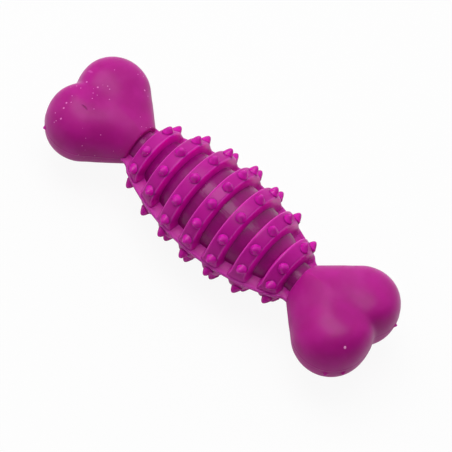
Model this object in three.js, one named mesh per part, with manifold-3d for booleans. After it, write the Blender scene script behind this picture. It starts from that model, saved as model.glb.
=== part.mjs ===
// Dental chew dumbbell: a spindle core with a heart on each end and a ribbed, nubbed barrel in two halves.
// Millimetres, +Z up, +X along the bar. The origin is under the middle, where the lowest nub stands.
import * as THREE from 'three';
import { mergeVertices } from 'three/addons/utils/BufferGeometryUtils.js';
import Module from 'manifold-3d';

const wasm = await Module();
wasm.setup();

// Core
const CORE_RADIUS = 15.5;
const NECK_RADIUS = 6.6;
const NECK_GROOVE = 3.6;
const SPIGOT_SHOULDER = 1.6;
const SPIGOT_LENGTH = 16;
const SPIGOT_CHAMFER = 0.8;

// Barrel: the ribs stand on the core, and the webs join them at the sides and stand out at the ends
const RIB_PITCH = 11.2;
const RIB_WIDTH = 5.5;
const RIB_ROOT_FLARE = 0.5;
const RIB_EDGE_BREAK = 0.5;
const MID_RIB_HEIGHT = 4.2;
const END_RIB_HEIGHT = 5.6;
const WEB_THICKNESS = 3;
const WEB_STAND = 0.5;
const WEB_DIP = 0.3;

// Nubs: degrees from straight up on one side of each rib, from the middle rib outwards
const NUB_ANGLES = [
  [0, 25.5, 51.3, 75.4],
  [15.9, 47.2, 76.7],
  [0, 33, 65.6],
  [28.5, 67],
];
const NUB_HEIGHT = 2.9;
const NUB_BASE_RADIUS = 2.2;
const NUB_TIP_RADIUS = 0.8;
const NUB_ROOT = 0.8;

// Hearts: the shoulders are what the tip stands out around the neck
const HEART_FLANK = 7.4;
const HEART_SHOULDER_WIDTH = 1.8;
const HEART_SHOULDER_HEIGHT = 2.75;
const HEART_THICKNESS = 28.8;
const LOBE_RADIUS = 14;
const CLEFT_DEPTH = 3.1;
const PILLOW_POWER = 2.52;

// Fits and facets
const FIT_GAP = 0.3;
const ROUND_FACETS = 32;
const CORE_STEPS = 8;
const WEB_STEPS = 12;
const FOOT_STEPS = 4;
const NUB_FACETS = 8;
const HEART_FACETS = 40;
const MERGE_DISTANCE = 1e-5;

// Looks: colour and roughness of the core, the hearts and the ribbed barrel
const CORE_LOOK = { color: 0x7a2062, roughness: 0.3 };
const HEART_LOOK = { color: 0xb02e8a, roughness: 0.55 };
const BARREL_LOOK = { color: 0xb81f88, roughness: 0.45 };

// Sizes and places that follow from the ones above
const ribsEachSide = NUB_ANGLES.length - 1;
const endRibX = ribsEachSide * RIB_PITCH;
const barrelEndX = endRibX + RIB_WIDTH / 2;
const heartTipX = barrelEndX + NECK_GROOVE;
const midRibRadius = CORE_RADIUS + MID_RIB_HEIGHT;
const endRibRadius = NECK_RADIUS + END_RIB_HEIGHT;
const spigotRadius = NECK_RADIUS - SPIGOT_SHOULDER;
const tipLength = LOBE_RADIUS + HEART_FLANK;
const tipHalfWidth = NECK_RADIUS + HEART_SHOULDER_WIDTH;
const tipHalfThickness = NECK_RADIUS + HEART_SHOULDER_HEIGHT;
const lobeOffset = Math.sqrt(LOBE_RADIUS ** 2 - (LOBE_RADIUS - CLEFT_DEPTH) ** 2);
const lobeCentreX = heartTipX + tipLength;
const axisHeight = midRibRadius + NUB_HEIGHT;

// Radius of a barrel arc that is `middle` at x = 0 and `end` at x = reach.
function barrelArc(x, middle, end, reach) {
  const drop = middle - end;
  const bulge = (reach * reach + drop * drop) / (2 * drop);
  return middle - bulge + Math.sqrt(bulge * bulge - x * x);
}

const crownRadius = (x) => barrelArc(x, midRibRadius, endRibRadius, endRibX);
const coreRadius = (x) => barrelArc(x, CORE_RADIUS, NECK_RADIUS, barrelEndX);
const webReach = (x) => crownRadius(x) + WEB_STAND * (x / barrelEndX) ** 2;

// Closed three.js geometry to a solid, and back.
function toSolid(geometry) {
  const bare = geometry.clone();
  bare.deleteAttribute('normal');
  bare.deleteAttribute('uv');
  const merged = mergeVertices(bare, MERGE_DISTANCE);
  return new wasm.Manifold(new wasm.Mesh({
    numProp: 3,
    vertProperties: new Float32Array(merged.attributes.position.array),
    triVerts: new Uint32Array(merged.index.array),
  }));
}

function toGeometry(solid) {
  const mesh = solid.getMesh();
  const geometry = new THREE.BufferGeometry();
  geometry.setAttribute('position', new THREE.BufferAttribute(new Float32Array(mesh.vertProperties), 3));
  geometry.setIndex(new THREE.BufferAttribute(new Uint32Array(mesh.triVerts), 1));
  geometry.computeVertexNormals();
  return geometry;
}

// Turned solid about the X axis from [radius, x] points that start and end on the axis.
function turned(points) {
  const profile = points.map(([radius, x]) => new THREE.Vector2(radius, x));
  const halfFacet = Math.PI / ROUND_FACETS;
  const geometry = new THREE.LatheGeometry(profile, ROUND_FACETS, halfFacet, 2 * Math.PI);
  geometry.rotateZ(-Math.PI / 2);
  return toSolid(geometry);
}

// Spindle core: `grow` is the clearance that the pieces around it keep.
function coreSolid(grow) {
  const half = [];
  for (let step = 0; step <= CORE_STEPS; step += 1) {
    const x = barrelEndX * step / CORE_STEPS;
    half.push([coreRadius(x) + grow, x]);
  }
  half.push([NECK_RADIUS + grow, heartTipX]);
  half.push([spigotRadius + grow, heartTipX]);
  half.push([spigotRadius + grow, heartTipX + SPIGOT_LENGTH - SPIGOT_CHAMFER]);
  half.push([spigotRadius + grow - SPIGOT_CHAMFER, heartTipX + SPIGOT_LENGTH]);
  half.push([0, heartTipX + SPIGOT_LENGTH]);
  const other = half.slice(1).map(([radius, x]) => [radius, -x]).reverse();
  return turned([...other, ...half]);
}

// One rib as a disc with a flared root and a crown that follows the barrel.
function ribSolid(x) {
  const half = RIB_WIDTH / 2;
  const root = half + RIB_ROOT_FLARE;
  const side = (sign) => {
    const edge = crownRadius(x + sign * half);
    const floor = coreRadius(x + sign * half);
    return [
      [0, x + sign * root],
      [floor, x + sign * root],
      [(floor + edge) / 2, x + sign * half],
      [edge - RIB_EDGE_BREAK, x + sign * half],
      [crownRadius(x + sign * (half - RIB_EDGE_BREAK)), x + sign * (half - RIB_EDGE_BREAK)],
    ];
  };
  return turned([...side(-1), ...side(1).reverse()]);
}

// One nub, standing square on the crown at an angle from straight up.
function nubSolid(x, angle) {
  const length = NUB_HEIGHT + NUB_ROOT;
  const geometry = new THREE.CylinderGeometry(NUB_TIP_RADIUS, NUB_BASE_RADIUS, length, NUB_FACETS);
  geometry.translate(0, (NUB_HEIGHT - NUB_ROOT) / 2 + crownRadius(x), 0);
  geometry.rotateX(Math.PI / 2 - angle);
  geometry.translate(x, 0, 0);
  return toSolid(geometry);
}

// The two side webs as one plate, from heart to heart.
function webSolid() {
  const edge = [];
  for (let step = -WEB_STEPS; step <= WEB_STEPS; step += 1) {
    const x = barrelEndX * step / WEB_STEPS;
    edge.push(new THREE.Vector2(x, webReach(x)));
  }
  const start = webReach(barrelEndX);
  const foot = new THREE.QuadraticBezierCurve(
    new THREE.Vector2(barrelEndX, start),
    new THREE.Vector2((barrelEndX + heartTipX) / 2, Math.min(start, tipHalfWidth) - WEB_DIP),
    new THREE.Vector2(heartTipX, tipHalfWidth),
  ).getPoints(FOOT_STEPS).slice(1);
  const mirrored = foot.map((point) => new THREE.Vector2(-point.x, point.y)).reverse();
  const far = [...mirrored, ...edge, ...foot];
  const near = far.map((point) => new THREE.Vector2(point.x, -point.y)).reverse();
  const geometry = new THREE.ExtrudeGeometry(new THREE.Shape([...far, ...near]), {
    depth: WEB_THICKNESS,
    bevelEnabled: false,
  });
  geometry.translate(0, 0, -WEB_THICKNESS / 2);
  return toSolid(geometry);
}

// Upper half of the barrel: the lower one is the same piece turned over.
function ribShell() {
  let barrel = webSolid();
  for (let rib = -ribsEachSide; rib <= ribsEachSide; rib += 1) {
    const x = rib * RIB_PITCH;
    barrel = barrel.add(ribSolid(x));
    for (const degrees of NUB_ANGLES[Math.abs(rib)]) {
      const angle = THREE.MathUtils.degToRad(degrees);
      barrel = barrel.add(nubSolid(x, angle));
      if (degrees > 0) {
        barrel = barrel.add(nubSolid(x, -angle));
      }
    }
  }
  const box = new THREE.BoxGeometry(4 * heartTipX, 4 * axisHeight, 2 * axisHeight);
  box.translate(0, 0, axisHeight);
  return toGeometry(barrel.subtract(coreSolid(FIT_GAP)).intersect(toSolid(box)));
}

// Distance from between the lobe centres to the heart's outline, at an angle from the cleft.
function heartReach(angle) {
  const sine = Math.abs(Math.sin(angle));
  const cosine = Math.cos(angle);
  const toCorner = Math.hypot(tipLength, lobeOffset - tipHalfWidth);
  const slope = Math.atan2(lobeOffset - tipHalfWidth, tipLength)
    + Math.asin(LOBE_RADIUS / toCorner);
  const flankX = -Math.sin(slope);
  const flankY = Math.cos(slope);
  const tangentAngle = Math.atan2(lobeOffset + LOBE_RADIUS * flankY, LOBE_RADIUS * flankX);
  if (Math.abs(angle) <= tangentAngle) {
    return lobeOffset * sine + Math.sqrt(LOBE_RADIUS ** 2 - (lobeOffset * cosine) ** 2);
  }
  const flankOffset = -flankX * tipLength + flankY * tipHalfWidth;
  return flankOffset / (flankX * cosine + flankY * sine);
}

// Heart pillow about its lobe centres, cleft towards +X, cut flat at the tip and bored for the spigot.
function heartEnd() {
  const apex = heartReach(Math.PI);
  const tipShare = (1 - (tipLength / apex) ** PILLOW_POWER) ** (1 / PILLOW_POWER);
  const pillow = new THREE.SphereGeometry(1, HEART_FACETS, HEART_FACETS / 2);
  pillow.rotateX(Math.PI / 2);
  const points = pillow.attributes.position;
  const power = 2 / PILLOW_POWER;
  for (let index = 0; index < points.count; index += 1) {
    const across = Math.min(1, Math.hypot(points.getX(index), points.getY(index)));
    const upright = points.getZ(index);
    const angle = Math.atan2(points.getY(index), points.getX(index));
    const reach = heartReach(angle) * across ** power;
    const x = reach * Math.cos(angle);
    const towardsTip = THREE.MathUtils.clamp(-x / tipLength, 0, 1);
    const half = THREE.MathUtils.lerp(HEART_THICKNESS / 2, tipHalfThickness / tipShare, towardsTip);
    const z = half * Math.sign(upright) * Math.abs(upright) ** power;
    points.setXYZ(index, x, reach * Math.sin(angle), z);
  }
  const beyondTip = new THREE.BoxGeometry(2 * apex, 4 * LOBE_RADIUS, 2 * HEART_THICKNESS);
  beyondTip.translate(-tipLength - apex, 0, 0);
  const depth = SPIGOT_LENGTH + FIT_GAP;
  const bore = spigotRadius + FIT_GAP;
  const socket = new THREE.CylinderGeometry(bore, bore, 2 * depth, ROUND_FACETS);
  socket.rotateZ(Math.PI / 2);
  socket.translate(-tipLength, 0, 0);
  return toGeometry(toSolid(pillow).subtract(toSolid(beyondTip)).subtract(toSolid(socket)));
}

// A named piece in its own rubber.
function piece(name, geometry, look) {
  const mesh = new THREE.Mesh(geometry, new THREE.MeshStandardMaterial({ ...look, metalness: 0 }));
  mesh.name = name;
  return mesh;
}

const bone = new THREE.Group();
bone.position.z = axisHeight;

bone.add(piece('core_bar', toGeometry(coreSolid(0)), CORE_LOOK));

const heart = heartEnd();
const rightHeart = piece('heart_end_right', heart, HEART_LOOK);
rightHeart.position.x = lobeCentreX;
const leftHeart = piece('heart_end_left', heart.clone(), HEART_LOOK);
leftHeart.position.x = -lobeCentreX;
leftHeart.rotation.z = Math.PI;
bone.add(rightHeart, leftHeart);

const shell = ribShell();
const lowerShell = piece('lower_rib_shell', shell.clone(), BARREL_LOOK);
lowerShell.rotation.x = Math.PI;
bone.add(piece('upper_rib_shell', shell, BARREL_LOOK), lowerShell);

const model = new THREE.Group();
model.add(bone);

export default model;
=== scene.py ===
"""Looks of the chew dumbbell: a glossy core, two hearts and a nubbed barrel, all in magenta rubber."""
import logging
import math
from dataclasses import asdict, dataclass
from enum import Enum

import bmesh
import bpy
import numpy as np
from mathutils import Matrix, Vector


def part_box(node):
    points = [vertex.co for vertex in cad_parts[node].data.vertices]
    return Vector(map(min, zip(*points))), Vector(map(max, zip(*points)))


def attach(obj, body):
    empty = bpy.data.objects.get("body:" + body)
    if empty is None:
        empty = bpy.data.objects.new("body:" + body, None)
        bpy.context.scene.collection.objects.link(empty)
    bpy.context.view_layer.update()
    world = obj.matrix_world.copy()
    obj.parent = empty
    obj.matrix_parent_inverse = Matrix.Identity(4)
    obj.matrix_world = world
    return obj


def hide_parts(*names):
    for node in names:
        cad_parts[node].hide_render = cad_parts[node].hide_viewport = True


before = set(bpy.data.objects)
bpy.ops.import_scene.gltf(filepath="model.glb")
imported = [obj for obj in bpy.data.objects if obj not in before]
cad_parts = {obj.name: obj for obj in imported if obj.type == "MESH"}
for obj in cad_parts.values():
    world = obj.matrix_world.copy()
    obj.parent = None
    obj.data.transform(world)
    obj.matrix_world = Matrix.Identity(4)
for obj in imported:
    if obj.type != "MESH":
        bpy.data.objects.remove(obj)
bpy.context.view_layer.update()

MM = 0.001
BODY = "root"
MERGE_DISTANCE = 0.002 * MM
SHARP_ANGLE = math.radians(28)
WHITE = (1.0, 1.0, 1.0, 1.0)

# Height of each half's share of the webs' edge: the mould seam lies high on it.
UPPER_WEB_EDGE = 0.4 * MM
LOWER_WEB_EDGE = 1.3 * MM

# Flash nibs on the hearts' rims: degrees from the cleft, and height over the seam.
LEFT_NIBS = ((67.6, 0.0),)
RIGHT_NIBS = ((38.7, 0.0), (-68.7, -2.5 * MM), (-51.3, -2.5 * MM))

# The Mix node's sockets that take two colours, and the one that gives their mixture.
MIX_COLOURS = slice(6, 8)
MIX_RESULT = 2

Triple = tuple[float, float, float]
Colour = Triple
Socket = bpy.types.NodeSocket

log = logging.getLogger("chew_dumbbell")


class Half(Enum):
    """The two halves of the barrel, by the node that each stands for."""

    UPPER = "upper_rib_shell"
    LOWER = "lower_rib_shell"

    @property
    def turn(self) -> float:
        """Turn about the bar that brings the upper half here, in radians."""
        return 0.0 if self is Half.UPPER else math.pi

    @property
    def web_edge(self) -> float:
        """Height of this half's share of the webs' edge."""
        return UPPER_WEB_EDGE if self is Half.UPPER else LOWER_WEB_EDGE


class Side(Enum):
    """The two ends of the bar, by the node that each stands for."""

    LEFT = "heart_end_left"
    RIGHT = "heart_end_right"

    @property
    def turn(self) -> float:
        """Turn about the upright that brings the right end here, in radians."""
        return 0.0 if self is Side.RIGHT else math.pi

    @property
    def nibs(self) -> list[tuple[float, float]]:
        """Flash nibs on this heart's rim: angle from the cleft, in radians, and height over the seam."""
        nibs = LEFT_NIBS if self is Side.LEFT else RIGHT_NIBS
        return [(math.radians(degrees), height) for degrees, height in nibs]


class Kept(Enum):
    """Numbers that the barrel's points carry while its node tree runs."""

    ACROSS = "across"
    ALONG = "along"
    STATION = "station"


class Field:
    """A number in a node tree, with sums on it written as plain Python."""

    def __init__(self, bench: "Bench", socket: Socket) -> None:
        """Keeps the tree's bench and the output socket that gives the number."""
        self.bench = bench
        self.socket = socket

    def __add__(self, other: "Number") -> "Field":
        """Sum."""
        return self.bench.math("ADD", self, other)

    def __radd__(self, other: float) -> "Field":
        """Sum with a plain number in front."""
        return self.bench.math("ADD", other, self)

    def __sub__(self, other: "Number") -> "Field":
        """Difference."""
        return self.bench.math("SUBTRACT", self, other)

    def __rsub__(self, other: float) -> "Field":
        """Difference from a plain number."""
        return self.bench.math("SUBTRACT", other, self)

    def __mul__(self, other: "Number") -> "Field":
        """Product."""
        return self.bench.math("MULTIPLY", self, other)

    def __truediv__(self, other: "Number") -> "Field":
        """Quotient."""
        return self.bench.math("DIVIDE", self, other)

    def __pow__(self, other: "Number") -> "Field":
        """Power."""
        return self.bench.math("POWER", self, other)

    def root(self) -> "Field":
        """Square root."""
        return self.bench.math("SQRT", self)

    def size(self) -> "Field":
        """Value without its sign."""
        return self.bench.math("ABSOLUTE", self)

    def sign(self) -> "Field":
        """Minus one, nought or one."""
        return self.bench.math("SIGN", self)

    def sine(self) -> "Field":
        """Sine."""
        return self.bench.math("SINE", self)

    def cosine(self) -> "Field":
        """Cosine."""
        return self.bench.math("COSINE", self)

    def above(self, limit: "Number") -> "Field":
        """One where the number is over the limit, and nought elsewhere."""
        return self.bench.math("GREATER_THAN", self, limit)

    def at_least(self, limit: "Number", soften: "Number" = 0.0) -> "Field":
        """The larger of two numbers, with the corner rounded over a distance."""
        return self.bench.math("SMOOTH_MAX", self, limit, soften)

    def at_most(self, limit: "Number", soften: "Number" = 0.0) -> "Field":
        """The smaller of two numbers, with the corner rounded over a distance."""
        return self.bench.math("SMOOTH_MIN", self, limit, soften)


Number = Field | float
Places = Field | np.ndarray


class Bench:
    """A node tree with short ways to add and wire its nodes."""

    def __init__(self, tree: bpy.types.NodeTree) -> None:
        """Keeps the tree."""
        self.tree = tree

    def plug(self, entry: Socket, value: object) -> None:
        """Links a field or socket to an input, or sets a plain value on it.

        Args:
            entry: The input socket.
            value: A field, an output socket or a plain value.
        """
        if isinstance(value, Field):
            value = value.socket
        if isinstance(value, Socket):
            self.tree.links.new(value, entry)
        else:
            entry.default_value = value

    def add(self, kind: str, inputs: dict | None = None, **settings: object) -> bpy.types.Node:
        """Adds a node.

        Args:
            kind: The node's type.
            inputs: Values for its inputs, by socket name or number.
            settings: The node's own properties.

        Returns:
            The new node.
        """
        node = self.tree.nodes.new(kind)
        for name, value in settings.items():
            setattr(node, name, value)
        for name, value in (inputs or {}).items():
            self.plug(node.inputs[name], value)
        return node

    def math(self, operation: str, *values: Number) -> Field:
        """Adds a Math node and gives its result."""
        node = self.add("ShaderNodeMath", dict(enumerate(values)), operation=operation)
        return Field(self, node.outputs[0])

    def arrow(self, operation: str, *values: object) -> bpy.types.Node:
        """Adds a Vector Math node."""
        return self.add("ShaderNodeVectorMath", dict(enumerate(values)), operation=operation)

    def vector(self, x: Number, y: Number, z: Number) -> Socket:
        """Joins three numbers to a vector."""
        return self.add("ShaderNodeCombineXYZ", {0: x, 1: y, 2: z}).outputs[0]

    def parts(self, vector: Socket) -> list[Field]:
        """Splits a vector into its three numbers."""
        node = self.add("ShaderNodeSeparateXYZ", {0: vector})
        return [Field(self, socket) for socket in node.outputs]

    def ramp(self, value: Field, low: float, high: float) -> Field:
        """Rises smoothly from 0 to 1.

        Args:
            value: The number to read.
            low: Where the rise starts.
            high: Where it ends.

        Returns:
            The risen share.
        """
        inputs = {"Value": value, "From Min": low, "From Max": high}
        node = self.add("ShaderNodeMapRange", inputs, interpolation_type="SMOOTHSTEP")
        return Field(self, node.outputs[0])


def barrel_arc(x: Places, middle: Number, end: Number, reach: Number) -> Places:
    """Radius of a barrel arc.

    Args:
        x: Places along the bar.
        middle: Radius at the middle.
        end: Radius at the end of the arc.
        reach: Distance of that end from the middle.

    Returns:
        The radius at each place.
    """
    drop = middle - end
    bulge = (reach * reach + drop * drop) / (drop * 2.0)
    return (bulge * bulge - x * x) ** 0.5 + middle - bulge


@dataclass(frozen=True)
class Spindle:
    """Lengths that the core, the barrel and the hearts share, in metres."""

    axis_height: float
    heart_tip: float
    core_radius: float = 15.5 * MM
    neck_radius: float = 6.6 * MM
    crown_radius: float = 19.7 * MM
    end_crown_radius: float = 12.2 * MM
    rib_pitch: float = 11.2 * MM
    rib_width: float = 5.4 * MM
    rib_shift: float = -0.4 * MM
    nub_shift: float = 0.15 * MM
    left_rib_shift: float = 0.3 * MM
    ribs_each_side: int = 3

    @classmethod
    def from_frame(cls) -> "Spindle":
        """Takes the bar's height and the place of the hearts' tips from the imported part."""
        low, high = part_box("core_bar")
        return cls((low.z + high.z) / 2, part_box(Side.RIGHT.value)[0].x)

    @property
    def end_rib(self) -> float:
        """Distance of the last rib from the middle."""
        return self.ribs_each_side * self.rib_pitch

    @property
    def barrel_end(self) -> float:
        """Distance of the last rib's outer face from the middle."""
        return self.end_rib + self.rib_width / 2

    @property
    def rib_height(self) -> float:
        """Height of the middle rib over the core."""
        return self.crown_radius - self.core_radius

    def core_at(self, x: Places) -> Places:
        """Radius of the core along the bar."""
        return barrel_arc(x, self.core_radius, self.neck_radius, self.barrel_end)

    def crown_at(self, x: Places) -> Places:
        """Radius of the ribs' crowns along the bar."""
        return barrel_arc(x, self.crown_radius, self.end_crown_radius, self.end_rib)


# Mottling, bloom and grain: size of the patches, octaves, and the noise between which each comes in.
MOTTLE_SIZE = 9.0 * MM
MOTTLE_DETAIL = 4.0
MOTTLE_RANGE = (0.38, 0.68)
CLOUD_SIZE = 16.0 * MM
CLOUD_DETAIL = 3.0
BLOOM_RANGE = (0.5, 0.78)
ROUGH_RANGE = (0.3, 0.7)
GRAIN_DETAIL = 2.0

# How far each colour of light travels under the surface, as a share of the glow's depth.
GLOW_RADIUS = (1.0, 0.5, 0.9)

# Dust: single grains, and specks that lie in clusters and get fewer towards the right end.
DUST_HALF = (0.4, 0.4, 1.0)
SPECK_COLOUR = (0.75, 0.22, 0.6)
SPECK_HEIGHT = 0.06 * MM
SPECK_SPACING = 1.6 * MM
SPECK_EDGE = (0.08, 0.16)
SPECK_FADE = (-20.0 * MM, 20.0 * MM)
SPECK_LEAN = 0.92
CLUSTER_SIZE = 11.0 * MM
CLUSTER_DETAIL = 1.0
CLUSTER_RANGE = (0.42, 0.68)

# Marks fade out from half their size to their edge.
MARK_EDGE = (0.5, 1.0)

# Fine tool marks along the bar.
STREAK_STRETCH = 0.03
STREAK_WIDTH = 0.7 * MM
STREAK_DETAIL = 2.0

# Ribs' walls, painted lighter to stand in for light coming through the rubber: how far they face along
# the bar, depth under the crowns, and height over the seam. The painted light is weaker towards the
# walls' root and near the seam.
PAINTED_WALL_LIGHT = (0.82, 0.003, 0.5)
WALL_FACING = (0.5, 0.9)
WALL_DEPTH = (0.1 * MM, 0.5 * MM)
WALL_ROOT = (1.8 * MM, 4.2 * MM)
WALL_FADE = 0.5
WALL_RISE = (2.0 * MM, 9.0 * MM)
WALL_LOW = 0.3

# Painted highlight line on the ribs' rounded edges, by depth under the crowns.
PAINTED_EDGE_HIGHLIGHT = (0.66, 0.07, 0.47)
EDGE_HIGHLIGHT_START = (0.06 * MM, 0.16 * MM)
EDGE_HIGHLIGHT_END = (0.35 * MM, 0.55 * MM)
EDGE_HIGHLIGHT_SHARE = 0.6

# Nubs, where the depth under the crowns is less than nought: painted lighter, most on their sides, to
# stand in for light through the rubber.
PAINTED_NUB_LIGHT = (0.5, 0.012, 0.325)
NUB_DEPTH = (-0.5 * MM, -0.1 * MM)
PAINTED_NUB_SIDE_LIGHT = (0.6, 0.006, 0.375)
NUB_SIDE = (-1.8 * MM, -0.7 * MM)
NUB_POLISH = 0.15

# Painted light on the webs' thin edge, standing in for light through the thin rubber, and a painted
# bright line on the seam for its highlight and the light through the flash, by height over the seam
# plane.
PAINTED_THIN_WEB_LIGHT = (0.56, 0.012, 0.35)
THIN_BAND = (1.2 * MM, 2.8 * MM)
PAINTED_SEAM_HIGHLIGHT = (0.8, 0.05, 0.5)
SEAM_BAND = (0.15 * MM, 0.45 * MM)


@dataclass(frozen=True)
class Mark:
    """A small blemish on the rubber: an ellipsoid about a place seen from the middle of the bar."""

    place: Triple
    half_sizes: Triple
    colour: Colour
    rise: float

    @classmethod
    def in_mm(cls, place: Triple, half_sizes: Triple, colour: Colour, rise: float) -> "Mark":
        """A mark with its place, half sizes and rise in millimetres.

        Args:
            place: Its middle.
            half_sizes: Its reach along each axis.
            colour: Its colour.
            rise: Its height, less than nought for a dent.

        Returns:
            The mark, in metres.
        """
        x, y, z = place
        long, wide, high = half_sizes
        return cls((x * MM, y * MM, z * MM), (long * MM, wide * MM, high * MM), colour, rise * MM)

    @classmethod
    def dust(cls, x: float, y: float, z: float) -> "Mark":
        """A grain of dust, at a place in millimetres."""
        return cls.in_mm((x, y, z), DUST_HALF, SPECK_COLOUR, SPECK_HEIGHT / MM)


class Coat(Bench):
    """A rubber's material in the making: colour, relief and roughness, layer on layer."""

    def __init__(self, tree: bpy.types.NodeTree, finish: "RubberFinish", bar: Spindle) -> None:
        """Starts with the rubber's mottled ground, on the piece's Object coordinates.

        Args:
            tree: The material's node tree.
            finish: The rubber.
            bar: The bar's lengths.
        """
        super().__init__(tree)
        self.finish = finish
        self.bar = bar
        here = self.add("ShaderNodeTexCoord").outputs
        self.normal = here["Normal"]
        self.place = self.arrow("SUBTRACT", here["Object"], (0.0, 0.0, bar.axis_height)).outputs[0]
        mottle = self.noise(MOTTLE_SIZE, MOTTLE_DETAIL)
        cloud = self.noise(CLOUD_SIZE, CLOUD_DETAIL)
        self.colour = self.blend(self.ramp(mottle, *MOTTLE_RANGE), finish.deep, finish.colour)
        self.paint(self.ramp(cloud, *BLOOM_RANGE) * finish.bloom_amount, finish.bloom)
        self.relief = self.noise(finish.grain_size, GRAIN_DETAIL) * finish.grain_depth
        self.rough = self.ramp(cloud, *ROUGH_RANGE) * finish.roughness_spread + finish.roughness

    def noise(self, feature: float, detail: float, place: Socket | None = None) -> Field:
        """Adds a noise.

        Args:
            feature: Size of its patches, in metres.
            detail: Octaves.
            place: Coordinates to read, if not the plain ones.

        Returns:
            A number about one half.
        """
        inputs = {"Vector": place or self.place, "Scale": 1 / feature, "Detail": detail}
        return Field(self, self.add("ShaderNodeTexNoise", inputs).outputs[0])

    def blend(self, share: Field, base: object, over: object) -> Socket:
        """Mixes two colours.

        Args:
            share: Part of the second colour.
            base: First colour, or a socket that gives it.
            over: Second colour, or a socket that gives it.

        Returns:
            The mixed colour.
        """
        node = self.add("ShaderNodeMix", {"Factor": share}, data_type="RGBA")
        for entry, value in zip(node.inputs[MIX_COLOURS], (base, over)):
            self.plug(entry, (*value, 1.0) if isinstance(value, tuple) else value)
        return node.outputs[MIX_RESULT]

    def paint(self, share: Field, colour: object) -> None:
        """Lays a colour over the coat by a share."""
        self.colour = self.blend(share, self.colour, colour)

    def light_ribs(self) -> None:
        """Paints light on the ribs' walls and nubs, standing in for light through the rubber, and a
        painted highlight on the ribs' edges.
        """
        amount = self.finish.wall_amount
        x, y, z = self.parts(self.place)
        depth = self.bar.crown_at(x) - (y * y + z * z).root()
        facing = self.parts(self.normal)[0].size()
        # Painted light on walls that face along the bar, weaker towards their root and near the seam.
        wall = self.ramp(facing, *WALL_FACING) * self.ramp(depth, *WALL_DEPTH)
        wall = wall * (1.0 - self.ramp(depth, *WALL_ROOT) * WALL_FADE)
        wall = wall * (self.ramp(z.size(), *WALL_RISE) * (1.0 - WALL_LOW) + WALL_LOW)
        self.paint(wall * amount, PAINTED_WALL_LIGHT)
        # Painted highlight along the ribs' rounded edges.
        edge = self.ramp(depth, *EDGE_HIGHLIGHT_START) * (1.0 - self.ramp(depth, *EDGE_HIGHLIGHT_END))
        self.paint(edge * EDGE_HIGHLIGHT_SHARE, PAINTED_EDGE_HIGHLIGHT)
        # Painted light on the nubs, brighter on their sides.
        nub = 1.0 - self.ramp(depth, *NUB_DEPTH)
        self.paint(nub * amount, self.blend(self.ramp(depth, *NUB_SIDE), PAINTED_NUB_LIGHT, PAINTED_NUB_SIDE_LIGHT))
        self.rough = self.rough - nub * NUB_POLISH

    def light_seam(self) -> None:
        """Paints light on the webs towards their thin edge, and a painted bright line on the seam."""
        off_seam = self.parts(self.place)[2].size()
        # Painted light on the webs' thin edge and a painted highlight line on the seam.
        for band, colour in ((THIN_BAND, PAINTED_THIN_WEB_LIGHT), (SEAM_BAND, PAINTED_SEAM_HIGHLIGHT)):
            share = 1.0 - self.ramp(off_seam, *band)
            self.paint(share * self.finish.thin_amount, colour)

    def add_mark(self, mark: Mark) -> None:
        """Colours and raises a mark.

        Args:
            mark: The mark.
        """
        offset = self.arrow("SUBTRACT", self.place, mark.place).outputs[0]
        scaled = self.arrow("DIVIDE", offset, mark.half_sizes).outputs[0]
        reach = Field(self, self.arrow("LENGTH", scaled).outputs["Value"])
        spot = 1.0 - self.ramp(reach, *MARK_EDGE)
        self.paint(spot, mark.colour)
        self.relief = self.relief + spot * mark.rise

    def add_specks(self) -> None:
        """Scatters dust specks."""
        inputs = {"Vector": self.place, "Scale": 1 / SPECK_SPACING}
        cells = self.add("ShaderNodeTexVoronoi", inputs).outputs
        chance = self.parts(cells["Color"])[0]
        cluster = self.ramp(self.noise(CLUSTER_SIZE, CLUSTER_DETAIL), *CLUSTER_RANGE)
        rightness = self.ramp(self.parts(self.place)[0], *SPECK_FADE)
        amount = (1.0 - rightness * SPECK_LEAN) * self.finish.speck_amount
        chosen = (chance + cluster * amount).above(1.0)
        speck = (1.0 - self.ramp(Field(self, cells["Distance"]), *SPECK_EDGE)) * chosen
        self.paint(speck, SPECK_COLOUR)
        self.relief = self.relief + speck * SPECK_HEIGHT

    def add_streaks(self) -> None:
        """Draws fine tool marks that run along the bar."""
        inputs = {"Vector": self.place, "Scale": (STREAK_STRETCH, 1.0, 1.0)}
        along = self.add("ShaderNodeMapping", inputs).outputs[0]
        streak = self.noise(STREAK_WIDTH, STREAK_DETAIL, along)
        self.relief = self.relief + streak * self.finish.streak_amount

    def wire(self) -> None:
        """Plugs the layers and the rubber's plain numbers into the shader."""
        bump = self.add("ShaderNodeBump", {"Strength": 1.0, "Distance": 1.0, "Height": self.relief})
        inputs = {
            "Base Color": self.colour,
            "Roughness": self.rough,
            "Normal": bump.outputs[0],
            "Subsurface Weight": self.finish.glow,
            "Subsurface Radius": GLOW_RADIUS,
            "Subsurface Scale": self.finish.glow_depth,
            "Specular IOR Level": self.finish.gloss,
        }
        shader = self.tree.nodes["Principled BSDF"]
        for name, value in inputs.items():
            self.plug(shader.inputs[name], value)


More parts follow.
